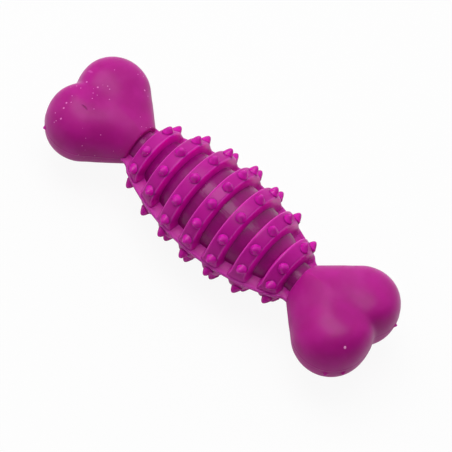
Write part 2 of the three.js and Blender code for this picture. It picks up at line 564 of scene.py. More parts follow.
@dataclass(frozen=True)
class RubberFinish:
    """A moulded rubber: mottled colour, dull bloom, fine grain, dust specks and marks, and on the barrel
    painted light and highlights.

    Colours are linear, sizes are in metres, and amounts run from 0 to 1.
    """

    name: str
    colour: Colour
    deep: Colour
    bloom: Colour
    bloom_amount: float
    roughness: float
    roughness_spread: float
    gloss: float
    grain_size: float
    grain_depth: float
    glow: float
    glow_depth: float
    speck_amount: float = 0.0
    streak_amount: float = 0.0
    # Share of the painted light on the webs' thin edge and seam.
    thin_amount: float = 0.0
    # Share of the painted light on the ribs' walls and nubs.
    wall_amount: float = 0.0
    marks: tuple[Mark, ...] = ()

    def material(self, bar: Spindle) -> bpy.types.Material:
        """Builds the node material.

        Args:
            bar: The bar's lengths.

        Returns:
            The material, on the piece's Object coordinates.
        """
        material = bpy.data.materials.new(self.name)
        material.use_nodes = True
        coat = Coat(material.node_tree, self, bar)
        if self.wall_amount > 0:
            coat.light_ribs()
        if self.thin_amount > 0:
            coat.light_seam()
        for mark in self.marks:
            coat.add_mark(mark)
        if self.speck_amount > 0:
            coat.add_specks()
        if self.streak_amount > 0:
            coat.add_streaks()
        coat.wire()
        return material


# The hearts' marks are a slit and a scuff on the left one, a pip on the right one, and dust.
# The slit is a shallow dent whose dark colour is painted shade in it; the pip is a raised bump whose
# pale colour is a painted glint.
HEART_RUBBER = RubberFinish(
    name="heart_rubber",
    colour=(0.41, 0.008, 0.24), deep=(0.36, 0.005, 0.205),
    bloom=(0.46, 0.04, 0.29), bloom_amount=0.3,
    roughness=0.3, roughness_spread=0.1, gloss=0.145,
    grain_size=0.35 * MM, grain_depth=0.008 * MM,
    glow=1.0, glow_depth=7.0 * MM,
    speck_amount=0.6,
    marks=(
        Mark.in_mm((-60.8, -9.7, 13.5), (1.8, 0.4, 2.0), (0.24, 0.004, 0.13), -0.15),
        Mark.in_mm((-70.2, 3.7, 12.0), (1.4, 0.5, 2.0), (0.5, 0.05, 0.33), 0.1),
        Mark.in_mm((70.7, -14.0, 11.0), (0.6, 0.6, 1.0), (0.85, 0.4, 0.7), 0.3),
        Mark.dust(-66.9, -12.9, 12.7),
        Mark.dust(-66.3, -14.9, 12.0),
        Mark.dust(-64.5, -18.1, 10.4),
        Mark.dust(-68.2, -0.5, 11.9),
        Mark.dust(-63.5, 0.3, 12.8),
        Mark.dust(-51.8, 13.7, 9.4),
    ))
RIB_RUBBER = RubberFinish(
    name="rib_rubber",
    colour=(0.46, 0.005, 0.28), deep=(0.4, 0.003, 0.24),
    bloom=(0.5, 0.025, 0.33), bloom_amount=0.25,
    roughness=0.28, roughness_spread=0.14, gloss=0.165,
    grain_size=0.3 * MM, grain_depth=0.006 * MM,
    glow=0.6, glow_depth=2.4 * MM,
    speck_amount=0.08, thin_amount=0.8, wall_amount=0.9)
# The core's rubber is darker than the ribs', partly its own tone and partly painted shade of the deep
# grooves.
# Its marks are two raised pips in the grooves; their pale colour is a painted glint.
CORE_RUBBER = RubberFinish(
    name="core_rubber",
    colour=(0.262, 0.003, 0.162), deep=(0.21, 0.002, 0.125),
    bloom=(0.36, 0.02, 0.23), bloom_amount=0.3,
    roughness=0.14, roughness_spread=0.08, gloss=0.185,
    grain_size=0.4 * MM, grain_depth=0.006 * MM,
    glow=0.2, glow_depth=1.6 * MM,
    streak_amount=0.12 * MM,
    marks=(
        Mark.in_mm((-17.7, -4.6, 11.4), (0.5, 0.5, 0.8), (0.8, 0.3, 0.65), 0.2),
        Mark.in_mm((6.0, -9.2, 10.3), (0.5, 0.5, 0.8), (0.8, 0.3, 0.65), 0.2),
    ))


def placed(name: str, data: bpy.types.ID) -> bpy.types.Object:
    """Adds an object to the scene, at the origin.

    Args:
        name: Its name.
        data: Its mesh, lamp or camera.

    Returns:
        The new object.
    """
    thing = bpy.data.objects.new(name, data)
    bpy.context.scene.collection.objects.link(thing)
    return thing


def shade(mesh: bpy.types.Mesh) -> None:
    """Shades a mesh smooth, apart from its sharp edges."""
    mesh.shade_smooth()
    mesh.set_sharp_from_angle(angle=SHARP_ANGLE)


def plain_object(name: str, points: np.ndarray, faces: list[tuple[int, ...]]) -> bpy.types.Object:
    """Makes a closed, smooth mesh object with its faces pointing out.

    Args:
        name: Name of the object and its mesh.
        points: Corners, in metres, in the part's frame.
        faces: Corner numbers of each face.

    Returns:
        The new object, at the origin.
    """
    mesh = bpy.data.meshes.new(name)
    mesh.from_pydata(points.tolist(), [], faces)
    form = bmesh.new()
    form.from_mesh(mesh)
    bmesh.ops.remove_doubles(form, verts=form.verts, dist=MERGE_DISTANCE)
    bmesh.ops.recalc_face_normals(form, faces=form.faces)
    form.to_mesh(mesh)
    form.free()
    shade(mesh)
    return placed(name, mesh)


def lattice_faces(rows: int, columns: int) -> list[tuple[int, ...]]:
    """Quads of a lattice whose rows close on themselves.

    Args:
        rows: Number of rings.
        columns: Corners on each ring.

    Returns:
        Corner numbers of each quad.
    """
    faces = []
    for row in range(rows - 1):
        here = row * columns
        after = here + columns
        for column in range(columns):
            beside = (column + 1) % columns
            faces.append((here + column, here + beside, after + beside, after + column))
    return faces


def bell(distance: np.ndarray, spread: float) -> np.ndarray:
    """A bump of height 1 that fades out over a spread."""
    return np.exp(-((distance / spread) ** 2))


def eased(share: np.ndarray) -> np.ndarray:
    """A share held between 0 and 1, with a smooth start and end."""
    share = np.clip(share, 0.0, 1.0)
    return share * share * (3 - 2 * share)


def dress(piece: bpy.types.Object, node: str, finish: RubberFinish, rubber: bpy.types.Material) -> None:
    """Gives a piece its rubber and its place in the part.

    Args:
        piece: The finished object.
        node: The node that it stands for.
        finish: Its rubber.
        rubber: That rubber's material.
    """
    piece.data.materials.clear()
    piece.data.materials.append(rubber)
    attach(piece, BODY)
    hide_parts(node)
    log.info("%s: %d faces in %s", piece.name, len(piece.data.polygons), finish.name)


@dataclass(frozen=True)
class CoreBar:
    """The spindle core, with a neck and a spigot at each end."""

    spindle: Spindle
    spigot_radius: float = 5.0 * MM
    spigot_length: float = 16.0 * MM
    spigot_chamfer: float = 0.8 * MM
    steps: int = 40
    facets: int = 128

    def profile(self) -> list[tuple[float, float]]:
        """Draws half of the turned outline.

        Returns:
            Places along the bar and their radii, from the middle to the end.
        """
        bar = self.spindle
        along = np.linspace(0.0, bar.barrel_end, self.steps)
        outline = list(zip(along, bar.core_at(along)))
        end = bar.heart_tip + self.spigot_length
        outline.append((bar.heart_tip, bar.neck_radius))
        outline.append((bar.heart_tip, self.spigot_radius))
        outline.append((end - self.spigot_chamfer, self.spigot_radius))
        outline.append((end, self.spigot_radius - self.spigot_chamfer))
        outline.append((end, 0.0))
        return outline

    def build(self) -> bpy.types.Object:
        """Turns the outline into a mesh.

        Returns:
            The core, in place.
        """
        half = self.profile()
        outline = [(-x, radius) for x, radius in reversed(half[1:])] + half
        around = np.linspace(0.0, 2 * math.pi, self.facets, endpoint=False)
        rings = [
            np.column_stack([np.full(self.facets, x), radius * np.cos(around), radius * np.sin(around)])
            for x, radius in outline
        ]
        points = np.concatenate(rings) + (0.0, 0.0, self.spindle.axis_height)
        return plain_object("core", points, lattice_faces(len(outline), self.facets))


@dataclass(frozen=True)
class HeartEnd:
    """A pillowed heart with its tip cut square against the neck."""

    spindle: Spindle
    side: Side
    lean: float = 0.0
    sideways: float = 0.0
    cleft_turn: float = math.radians(4.4)
    cleft_spread: float = 0.38
    cleft_dent: float = 0.4 * MM
    dent_spread: float = 0.38
    flank: float = 6.95 * MM
    tip_half_width: float = 8.3 * MM
    tip_half_height: float = 9.35 * MM
    thickness: float = 28.8 * MM
    lobe_radius: float = 14.5 * MM
    cleft_depth: float = 2.35 * MM
    cleft_softness: float = 0.27
    flank_ease: float = 0.3
    plan_power: float = 3.4
    rise_power: float = 2.3
    valley_depth: float = 1.6 * MM
    valley_half: float = 6.0 * MM
    valley_start: float = -10.0 * MM
    valley_full: float = 6.0 * MM
    taper_start: float = 7.0 * MM
    taper_power: float = 1.6
    tip_round: float = 0.5 * MM
    nib_height: float = 0.9 * MM
    nib_half: float = 0.7 * MM
    seam_height: float = 0.1 * MM
    seam_width: float = 0.25 * MM
    seam_crowding: float = 0.85
    rows: int = 190
    columns: int = 200
    tip_rings: int = 6
    round_steps: int = 5
    halvings: int = 40

    @property
    def tip_length(self) -> float:
        """Distance of the tip from between the lobes."""
        return self.lobe_radius + self.flank

    @property
    def lobe_offset(self) -> float:
        """Distance of each lobe's centre from the middle line."""
        return math.sqrt(self.lobe_radius**2 - (self.lobe_radius - self.cleft_depth) ** 2)

    def reach(self, angle: np.ndarray) -> np.ndarray:
        """Distance of the heart's outline from between the lobes.

        Args:
            angle: Angles from the cleft, in radians.

        Returns:
            The distance at each angle.
        """
        angle = angle - self.cleft_turn * bell(angle, self.cleft_spread)
        sine = np.abs(np.sin(angle))
        cosine = np.cos(angle)
        soft = self.cleft_softness
        rounded = (np.sqrt(sine**2 + soft**2) - soft) / (math.sqrt(1 + soft**2) - soft)
        lobe = self.lobe_offset * rounded
        lobe = lobe + np.sqrt(self.lobe_radius**2 - (self.lobe_offset * cosine) ** 2)
        narrowing = self.lobe_offset - self.tip_half_width
        slope = math.atan2(narrowing, self.tip_length)
        slope += math.asin(self.lobe_radius / math.hypot(self.tip_length, narrowing))
        flank_x, flank_y = -math.sin(slope), math.cos(slope)
        flank = self.tip_half_width * flank_y - flank_x * self.tip_length
        flank = flank / (flank_x * cosine + flank_y * sine)
        touch_y = self.lobe_offset + self.lobe_radius * flank_y
        touch = math.atan2(touch_y, self.lobe_radius * flank_x)
        share = eased((np.abs(angle) - touch) / (2 * self.flank_ease) + 0.5)
        return lobe + (flank - lobe) * share - self.cleft_dent * bell(angle, self.dent_spread)

    def half_thickness(self, x: np.ndarray, y: np.ndarray) -> np.ndarray:
        """Height of the pillow over its middle plane, before it falls to the outline.

        Args:
            x: Places towards the cleft, from between the lobes.
            y: Places across the heart.

        Returns:
            The height: it tapers to the tip and dips between the lobes.
        """
        apex = float(self.reach(np.array(math.pi)))
        tip_share = (1 - (self.tip_length / apex) ** self.plan_power) ** (1 / self.rise_power)
        middle = self.thickness / 2
        tip = self.tip_half_height / tip_share
        towards_tip = np.clip((self.taper_start - x) / (self.taper_start + self.tip_length), 0.0, 1.0)
        run = eased((x - self.valley_start) / (self.valley_full - self.valley_start))
        aside = y - np.maximum(x, 0.0) * math.tan(self.cleft_turn)
        valley = self.valley_depth * run * bell(aside, self.valley_half)
        return middle + (tip - middle) * towards_tip**self.taper_power - valley

    def radius(self, direction: np.ndarray) -> np.ndarray:
        """Distance of the pillow's surface from between the lobes, found by halving.

        Args:
            direction: Unit vectors, one per row.

        Returns:
            The distance along each.
        """
        x, y, z = direction[..., 0], direction[..., 1], direction[..., 2]
        plan = np.hypot(x, y) / self.reach(np.arctan2(y, x))
        low = np.zeros(x.shape)
        high = np.full(x.shape, 2 * self.tip_length)
        for _ in range(self.halvings):
            middle = (low + high) / 2
            height = np.abs(middle * z) / self.half_thickness(middle * x, middle * y)
            outside = (middle * plan) ** self.plan_power + height**self.rise_power > 1
            low = np.where(outside, low, middle)
            high = np.where(outside, middle, high)
        return high

    def surface(self, polar: np.ndarray, around: np.ndarray) -> np.ndarray:
        """Points on the pillow.

        Args:
            polar: Angles from the tip.
            around: Angles about the bar.

        Returns:
            Points from between the lobes, the cleft towards +X.
        """
        ring = np.sin(polar)
        direction = np.stack([-np.cos(polar), ring * np.cos(around), ring * np.sin(around)], axis=-1)
        return direction * self.radius(direction)[..., None]

    def tip_angle(self, around: np.ndarray) -> np.ndarray:
        """Angle from the tip at which the pillow meets the square cut.

        Args:
            around: Angles about the bar.

        Returns:
            The angle for each.
        """
        low = np.zeros(around.shape)
        high = np.full(around.shape, math.pi / 2)
        for _ in range(self.halvings):
            middle = (low + high) / 2
            beyond = self.surface(middle, around)[:, 0] < -self.tip_length
            low = np.where(beyond, middle, low)
            high = np.where(beyond, high, middle)
        return high

    def rings(self) -> list[np.ndarray]:
        """Makes the heart's rings from the tip to the cleft.

        Returns:
            The points of each ring, from between the lobes: the cut face, its rounded edge, the pillow.
        """
        even = np.linspace(0.0, 2 * math.pi, self.columns, endpoint=False)
        around = even - self.seam_crowding * np.sin(2 * even) / 2
        cut = self.tip_angle(around)
        edge = self.surface(cut, around)
        start = cut + self.tip_round / np.linalg.norm(edge, axis=1)
        flank_side = self.surface(start, around)
        inward = 1 - self.tip_round / np.hypot(edge[:, 1], edge[:, 2])
        face_side = edge * np.column_stack([np.ones_like(inward), inward, inward])
        rings = [face_side * (1.0, share, share) for share in np.linspace(0.0, 1.0, self.tip_rings)]
        for share in np.linspace(0.0, 1.0, self.round_steps)[1:-1]:
            rest = 1 - share
            rings.append(rest**2 * face_side + 2 * share * rest * edge + share**2 * flank_side)
        for share in np.linspace(0.0, 1.0, self.rows):
            rings.append(self.surface(start + (math.pi - start) * share, around))
        return rings

    def with_seam(self, points: np.ndarray) -> np.ndarray:
        """Raises the thin mould seam round the heart's edge and the flash nibs on it.

        Args:
            points: Points from between the lobes.

        Returns:
            The points with those at the seam moved out.
        """
        lift = self.seam_height * bell(points[:, 2], self.seam_width)
        lift[points[:, 0] < -self.tip_length + self.tip_round] = 0.0
        for angle, height in self.side.nibs:
            rim = float(self.reach(np.array(angle)))
            nib = np.array((rim * math.cos(angle), rim * math.sin(angle), height))
            lift += self.nib_height * bell(np.linalg.norm(points - nib, axis=1), self.nib_half)
        out = points * (1.0, 1.0, 0.0)
        length = np.linalg.norm(out, axis=1)
        return points + out * (lift / np.maximum(length, MM))[:, None]

    def build(self) -> bpy.types.Object:
        """Makes the heart's mesh and sets it on its neck.

        Returns:
            The heart, in place.
        """
        rings = self.rings()
        points = self.with_seam(np.concatenate(rings)) + (self.tip_length, 0.0, 0.0)
        lean = np.array(Matrix.Rotation(self.lean, 3, "Z"))
        points = points @ lean.T + (self.spindle.heart_tip, 0.0, 0.0)
        turn = np.array(Matrix.Rotation(self.side.turn, 3, "Z"))
        points = points @ turn.T + (0.0, self.sideways, self.spindle.axis_height)
        name = self.side.value.replace("end_", "")
        return plain_object(name, points, lattice_faces(len(rings), self.columns))


@dataclass(frozen=True)
class BarrelSizes:
    """Sizes that the barrel's node tree takes as named inputs, in metres."""

    core_radius: float
    neck_radius: float
    crown_radius: float
    end_crown_radius: float
    end_rib: float
    barrel_end: float
    heart_tip: float
    rib_pitch: float
    rib_width: float
    rib_height: float
    rib_shift: float
    left_rib_shift: float
    web_edge: float
    rib_rounding: float = 0.85 * MM
    rib_draft: float = 0.4 * MM
    inner_slope: float = 0.018
    root_flare: float = 0.15 * MM
    root_flare_height: float = 1.8 * MM
    end_flare: float = 0.28
    end_flare_height: float = 2.6 * MM
    core_overlap: float = 0.12 * MM
    heart_overlap: float = 2.6 * MM
    web_half: float = 1.5 * MM
    web_rounding: float = 0.5 * MM
    web_dish: float = 0.3 * MM
    web_proud: float = 0.25 * MM
    web_proud_ends: float = 0.5 * MM
    foot_dip: float = 0.1 * MM
    foot_half: float = 9.5 * MM
    seam_lip: float = 0.12 * MM
    nub_height: float = 2.7 * MM
    nub_radius: float = 2.15 * MM
    nub_root: float = 0.9 * MM
    nub_bluntness: float = 2.1
    nub_flare: float = 1.25

    @classmethod
    def for_bar(cls, bar: Spindle, half: Half) -> "BarrelSizes":
        """Takes the lengths that a half shares with the rest of the bar.

        Args:
            bar: The bar's lengths.
            half: The half.

        Returns:
            All its sizes.
        """
        shared = (
            "core_radius", "neck_radius", "crown_radius", "end_crown_radius", "end_rib", "barrel_end",
            "heart_tip", "rib_pitch", "rib_width", "rib_height", "rib_shift", "left_rib_shift")
        return cls(*(getattr(bar, name) for name in shared), web_edge=half.web_edge)


class BarrelTree(Bench):
    """Geometry nodes that make one half of the barrel about the bar's own axis.

    The tree takes the nubs' seats as points. It sweeps the ribs, lofts the two webs and
    stands a nub on each seat, then joins them all to one closed body. The last two rings
    of a nub's mesh close its underside.
    """

    RIB_COLUMNS = 41
    RIB_ROWS = 91
    WEB_COLUMNS = 161
    WEB_ROWS = 27
    NUB_RINGS = 14
    NUB_FACETS = 24
    CAP_SHARE = 2 / (NUB_RINGS - 1)

    def __init__(self, sizes: BarrelSizes, rib_count: int) -> None:
        """Makes the tree.

        Args:
            sizes: The sizes that become its inputs.
            rib_count: How many ribs the barrel has.
        """
        super().__init__(bpy.data.node_groups.new("barrel_half", "GeometryNodeTree"))
        self.rib_count = rib_count
        self.values: dict[str, float] = {}
        self.entry("Seats", "NodeSocketGeometry")
        for name, value in asdict(sizes).items():
            identifier = self.entry(self.title(name), "NodeSocketFloat")
            self.values[identifier] = value
        self.rubber = self.entry("Rubber", "NodeSocketMaterial")
        self.tree.interface.new_socket("Barrel", in_out="OUTPUT", socket_type="NodeSocketGeometry")
        self.start = self.add("NodeGroupInput")
        self.join()

    @staticmethod
    def title(name: str) -> str:
        """Name of an input in words."""
        return name.replace("_", " ").title()

    def entry(self, name: str, kind: str) -> str:
        """Adds an input to the tree and gives its identifier."""
        return self.tree.interface.new_socket(name, in_out="INPUT", socket_type=kind).identifier

    def size(self, name: str) -> Field:
        """One of the tree's sizes."""
        return Field(self, self.start.outputs[self.title(name)])

    def core_at(self, x: Field) -> Field:
        """Radius on which the barrel stands, a little inside the core's skin.

        Args:
            x: Places along the bar.

        Returns:
            The radius at each place.
        """
        end = self.size("barrel_end")
        inside = x.size().at_most(end)
        radius = barrel_arc(inside, self.size("core_radius"), self.size("neck_radius"), end)
        return radius - self.size("core_overlap")

    def crown_at(self, x: Field) -> Field:
        """Radius of the ribs' crowns."""
        middle, end = self.size("crown_radius"), self.size("end_crown_radius")
        return barrel_arc(x, middle, end, self.size("end_rib"))

    def grid(self, columns: int, rows: int) -> tuple[Socket, Field, Field]:
        """Adds a grid.

        Args:
            columns: Corners across.
            rows: Corners along.

        Returns:
            Its mesh and the two shares, from 0 to 1, across and along.
        """
        inputs = {"Size X": 1.0, "Size Y": 1.0, "Vertices X": columns, "Vertices Y": rows}
        mesh = self.add("GeometryNodeMeshGrid", inputs).outputs["Mesh"]
        across, along, _ = self.position()
        return mesh, across + 0.5, along + 0.5

    def position(self) -> list[Field]:
        """The three coordinates of each point."""
        return self.parts(self.add("GeometryNodeInputPosition").outputs[0])

    def keep(self, geometry: Socket, name: Kept, value: Field) -> Socket:
        """Stores a number on the points under a name."""
        inputs = {"Geometry": geometry, "Name": name.value, "Value": value}
        return self.add("GeometryNodeStoreNamedAttribute", inputs).outputs[0]

    def kept(self, name: Kept) -> Field:
        """Reads a number that was stored on the points."""
        return Field(self, self.add("GeometryNodeInputNamedAttribute", {"Name": name.value}).outputs[0])

    def move(self, geometry: Socket, *place: Number) -> Socket:
        """Moves every point to a place, given by its three coordinates."""
        inputs = {"Geometry": geometry, "Position": self.vector(*place)}
        return self.add("GeometryNodeSetPosition", inputs).outputs[0]

    def copied(self, inputs: dict) -> Socket:
        """Sets a copy on each point and makes the copies real."""
        copies = self.add("GeometryNodeInstanceOnPoints", inputs).outputs[0]
        return self.add("GeometryNodeRealizeInstances", {"Geometry": copies}).outputs[0]

    def merged(self, geometry: Socket) -> Socket:
        """Merges the corners that meet."""
        inputs = {"Geometry": geometry, "Distance": MERGE_DISTANCE}
        return self.add("GeometryNodeMergeByDistance", inputs).outputs[0]

    def joined(self, *geometries: Socket) -> Socket:
        """Joins geometries without merging them.

        Args:
            geometries: The geometries.

        Returns:
            All of them as one.
        """
        node = self.add("GeometryNodeJoinGeometry")
        for geometry in geometries:
            self.plug(node.inputs[0], geometry)
        return node.outputs[0]

    def closed(self, outside: Socket, inside: Socket) -> Socket:
        """Closes an outer skin with an inner one that meets it all round and is made the same way."""
        flipped = self.add("GeometryNodeFlipFaces", {"Mesh": inside}).outputs[0]
        return self.merged(self.joined(outside, flipped))

    @staticmethod
    def held(step: Field, last: float) -> Field:
        """Number of a row or column, with the spare ones held at the first and the last."""
        return step.at_least(0.0).at_most(last)

    @staticmethod
    def spilled(step: Field, last: float) -> Field:
        """One on the spare rows or columns, and nought elsewhere."""
        return (step * -1.0).above(0.5) + step.above(last + 0.5)

    def ribs(self) -> Socket:
        """Makes all ribs from one strip that is set at each station along the bar."""
        return self.closed(self.rib_skin(self.RIB_ROWS, 0), self.rib_skin(self.RIB_ROWS + 2, 1))

    def rib_skin(self, rows: int, spare: int) -> Socket:
        """Makes one skin of every rib.

        Args:
            rows: Corners round the half turn.
            spare: Rows at each end that close the flat ends; none on the outer skin.

        Returns:
            The skin, as a mesh.
        """
        strip, across, along = self.grid(self.RIB_COLUMNS, rows)
        strip = self.keep(strip, Kept.ACROSS, across * 2.0 - 1.0)
        strip = self.keep(strip, Kept.ALONG, along)
        skin = self.copied({"Points": self.stations(), "Instance": strip})
        row = self.kept(Kept.ALONG) * float(rows - 1) - float(spare)
        last = float(rows - 1 - 2 * spare)
        turn = self.held(row, last) * (math.pi / last)
        lift: Number = self.spilled(row, last) if spare else 1.0
        return self.move(skin, *self.rib_point(turn, lift))

    def stations(self) -> Socket:
        """Sets a point at each rib's place along the bar, the left end rib a little further in.

        Returns:
            The points, which keep their place as a number.
        """
        pitch = self.size("rib_pitch")
        first = pitch * (-(self.rib_count - 1) / 2) + self.size("rib_shift")
        line = {
            "Count": self.rib_count,
            "Start Location": self.vector(first, 0.0, 0.0),
            "Offset": self.vector(pitch, 0.0, 0.0),
        }
        points = self.add("GeometryNodeMeshLine", line).outputs[0]
        here = self.position()[0]
        at_left = (here * -1.0).above(self.size("end_rib") - pitch * 0.5)
        return self.keep(points, Kept.STATION, here + at_left * self.size("left_rib_shift"))

    def rib_point(self, turn: Field, lift: Number) -> tuple[Field, Field, Field]:
        """Point on a rib, from its rounded and flared section.

        Args:
            turn: Angle about the bar from the seam plane.
            lift: One on the outer skin and nought on the core.

        Returns:
            The point's place.
        """
        across = self.kept(Kept.ACROSS)
        station = self.kept(Kept.STATION)
        height = self.size("rib_height")
        rounding = self.size("rib_rounding")
        wall = height - rounding
        bend = rounding * (math.pi / 2)
        crown = self.size("rib_width") * 0.5 - rounding
        path = (1.0 - across.size()) * (wall + bend + crown)
        angle = ((path - wall) / rounding).at_least(0.0).at_most(math.pi / 2)
        rise = path.at_most(wall) + angle.sine() * rounding
        share = rise / height
        width = crown + angle.cosine() * rounding - (path - wall - bend).at_least(0.0)
        flare = (1.0 - rise / self.size("root_flare_height")).at_least(0.0)
        width = width + (1.0 - share) * self.size("rib_draft") + flare * flare * self.size("root_flare")
        inward = (across * station * -1.0).above(0.0)
        width = width + (1.0 - share) * inward * station.size() * self.size("inner_slope")
        level = self.crown_at(station) * turn.sine() - self.size("web_half")
        spread = (1.0 - level.at_least(0.0) / self.size("end_flare_height")).at_least(0.0)
        width = width * (1.0 + spread * spread * self.size("end_flare"))
        x = station + across.sign() * width
        floor = self.core_at(x)
        radius = floor + (self.crown_at(x) - floor) * share * lift
        return x, radius * turn.cosine(), radius * turn.sine()

    def webs(self) -> Socket:
        """Makes the two webs: one plate, and the same plate turned half round.

        Returns:
            Both plates.
        """
        plate = self.closed(self.web_skin(0), self.web_skin(1))
        half_turn = {"Geometry": plate, "Rotation": (0.0, 0.0, math.pi)}
        turned = self.add("GeometryNodeTransform", half_turn).outputs[0]
        return self.joined(plate, turned)

    def web_skin(self, spare: int) -> Socket:
        """Makes one skin of a web.

        Args:
            spare: Columns and rows at each end that close the plate; none on the upper skin.

        Returns:
            The skin, as a mesh.
        """
        columns = self.WEB_COLUMNS + 2 * spare
        rows = self.WEB_ROWS + 2 * spare
        last_column = float(self.WEB_COLUMNS - 1)
        last_row = float(self.WEB_ROWS - 1)
        mesh, across, along = self.grid(columns, rows)
        column = across * float(columns - 1) - float(spare)
        row = along * float(rows - 1) - float(spare)
        span = self.size("heart_tip") + self.size("heart_overlap")
        x = (self.held(column, last_column) * (2.0 / last_column) - 1.0) * span
        share = self.held(row, last_row) / last_row
        lift: Number = 1.0
        if spare:
            lift = (self.spilled(column, last_column) + self.spilled(row, last_row)).at_most(1.0)
        edge = self.web_edge(x)
        depth = edge - self.core_at(x)
        thin = self.size("web_edge")
        rounding = self.size("web_rounding")
        path = share * (thin + depth)
        inward = (path - thin).at_least(0.0, rounding)
        part = inward / depth
        dish = (part * math.pi).sine() * self.size("web_dish")
        z = path.at_most(thin, rounding) + part * (self.size("web_half") - thin) - dish
        lip = (1.0 - z / self.size("seam_lip") * 0.5).at_least(0.0) * self.size("seam_lip")
        return self.move(mesh, x, edge - inward + lip * (1.0 - share), z * lift)

    def web_edge(self, x: Field) -> Field:
        """Distance of a web's outer edge from the bar: along the crowns, then down to the heart.

        Args:
            x: Places along the bar.

        Returns:
            The distance at each place.
        """
        end = self.size("barrel_end")
        far = x.size()
        along = far.at_most(end)
        part = along / end
        crown = self.crown_at(along) + self.size("web_proud") + part * part * self.size("web_proud_ends")
        foot = self.size("foot_half")
        dip = crown.at_most(foot) - self.size("foot_dip")
        share = ((far - end) / (self.size("heart_tip") - end)).at_least(0.0).at_most(1.0)
        rest = 1.0 - share
        return rest * rest * crown + share * rest * dip * 2.0 + share * share * foot

    def nubs(self) -> Socket:
        """Stands one turned nub on each seat, square to the bar.

        Returns:
            All nubs, as a mesh.
        """
        mesh, around, along = self.grid(self.NUB_FACETS + 1, self.NUB_RINGS)
        angle = around * (2 * math.pi)
        flank = 1.0 - self.CAP_SHARE
        share = (along / flank).at_most(1.0)
        under = ((along - flank) / (self.CAP_SHARE / 2)).at_least(0.0)
        sunk = under.at_most(1.0)
        closing = (under - 1.0).at_least(0.0)
        radius = share * (1.0 - closing) * self.size("nub_radius")
        dome = (1.0 - share ** self.size("nub_bluntness")).at_least(0.0) ** self.size("nub_flare")
        height = dome * self.size("nub_height") - sunk * self.size("nub_root")
        nub = self.merged(self.move(mesh, radius * angle.cosine(), radius * angle.sine(), height))
        _, y, z = self.position()
        upright = {"Vector": self.vector(0.0, y, z)}
        turn = self.add("FunctionNodeAlignRotationToVector", upright, axis="Z").outputs[0]
        return self.copied({"Points": self.start.outputs["Seats"], "Instance": nub, "Rotation": turn})

    def join(self) -> None:
        """Joins ribs, webs and nubs to one body in its rubber."""
        union = self.add("GeometryNodeMeshBoolean", operation="UNION", solver="MANIFOLD")
        for solid in (self.ribs(), self.webs(), self.nubs()):
            self.plug(union.inputs["Mesh 2"], solid)
        whole = self.add("GeometryNodeRealizeInstances", {"Geometry": union.outputs["Mesh"]}).outputs[0]
        rubber = {"Geometry": whole, "Material": self.start.outputs["Rubber"]}
        painted = self.add("GeometryNodeSetMaterial", rubber).outputs[0]
        self.add("NodeGroupOutput", {0: painted})


@dataclass(frozen=True)
class BarrelHalf:
    """One half of the barrel, with the nubs' angles from straight up, from the middle rib outwards."""

    spindle: Spindle
    half: Half
    nub_angles: tuple[tuple[float, ...], ...] = (
        (0.0, 25.5, 51.3, 75.4),
        (15.9, 47.2, 76.7),
        (0.0, 33.0, 65.6),
        (28.5, 67.0),
    )

    def seats(self) -> list[Triple]:
        """Finds the nubs' places on the crowns.

        Returns:
            Each place once, about the bar's own axis.
        """
        bar = self.spindle
        places = set()
        for rib in range(-bar.ribs_each_side, bar.ribs_each_side + 1):
            x = rib * bar.rib_pitch + bar.nub_shift
            if rib == -bar.ribs_each_side:
                x += bar.left_rib_shift
            radius = float(bar.crown_at(np.array(x)))
            for degrees in self.nub_angles[abs(rib)]:
                for side in (-1, 1):
                    angle = math.radians(degrees) * side
                    places.add((x, radius * math.sin(angle), radius * math.cos(angle)))
        return sorted(places)

    def run(self, tree: BarrelTree, rubber: bpy.types.Material) -> bpy.types.Mesh:
        """Runs the node tree on the seats and keeps its result as a plain mesh.

        Args:
            tree: The barrel's node tree.
            rubber: The rubber's material.

        Returns:
            The half barrel about the bar's own axis, upper half up.
        """
        seats = bpy.data.meshes.new("nub_seats")
        seats.from_pydata(self.seats(), [], [])
        maker = placed("barrel_maker", seats)
        modifier = maker.modifiers.new("barrel", "NODES")
        modifier.node_group = tree.tree
        for identifier, value in tree.values.items():
            modifier[identifier] = value
        modifier[tree.rubber] = rubber
        ready = maker.evaluated_get(bpy.context.evaluated_depsgraph_get())
        made = bpy.data.meshes.new_from_object(ready)
        bpy.data.objects.remove(maker)
        for kept in Kept:
            if kept.value in made.attributes:
                made.attributes.remove(made.attributes[kept.value])
        return made

    def build(self, tree: BarrelTree, rubber: bpy.types.Material) -> bpy.types.Object:
        """Makes the half and sets it on the bar.

        Args:
            tree: The barrel's node tree.
            rubber: The rubber's material.

        Returns:
            The half barrel, in place.
        """
        mesh = self.run(tree, rubber)
        mesh.name = self.half.value.replace("_shell", "s")
        mesh.transform(Matrix.Rotation(self.half.turn, 4, "X"))
        mesh.transform(Matrix.Translation((0.0, 0.0, self.spindle.axis_height)))
        shade(mesh)
        return placed(mesh.name, mesh)


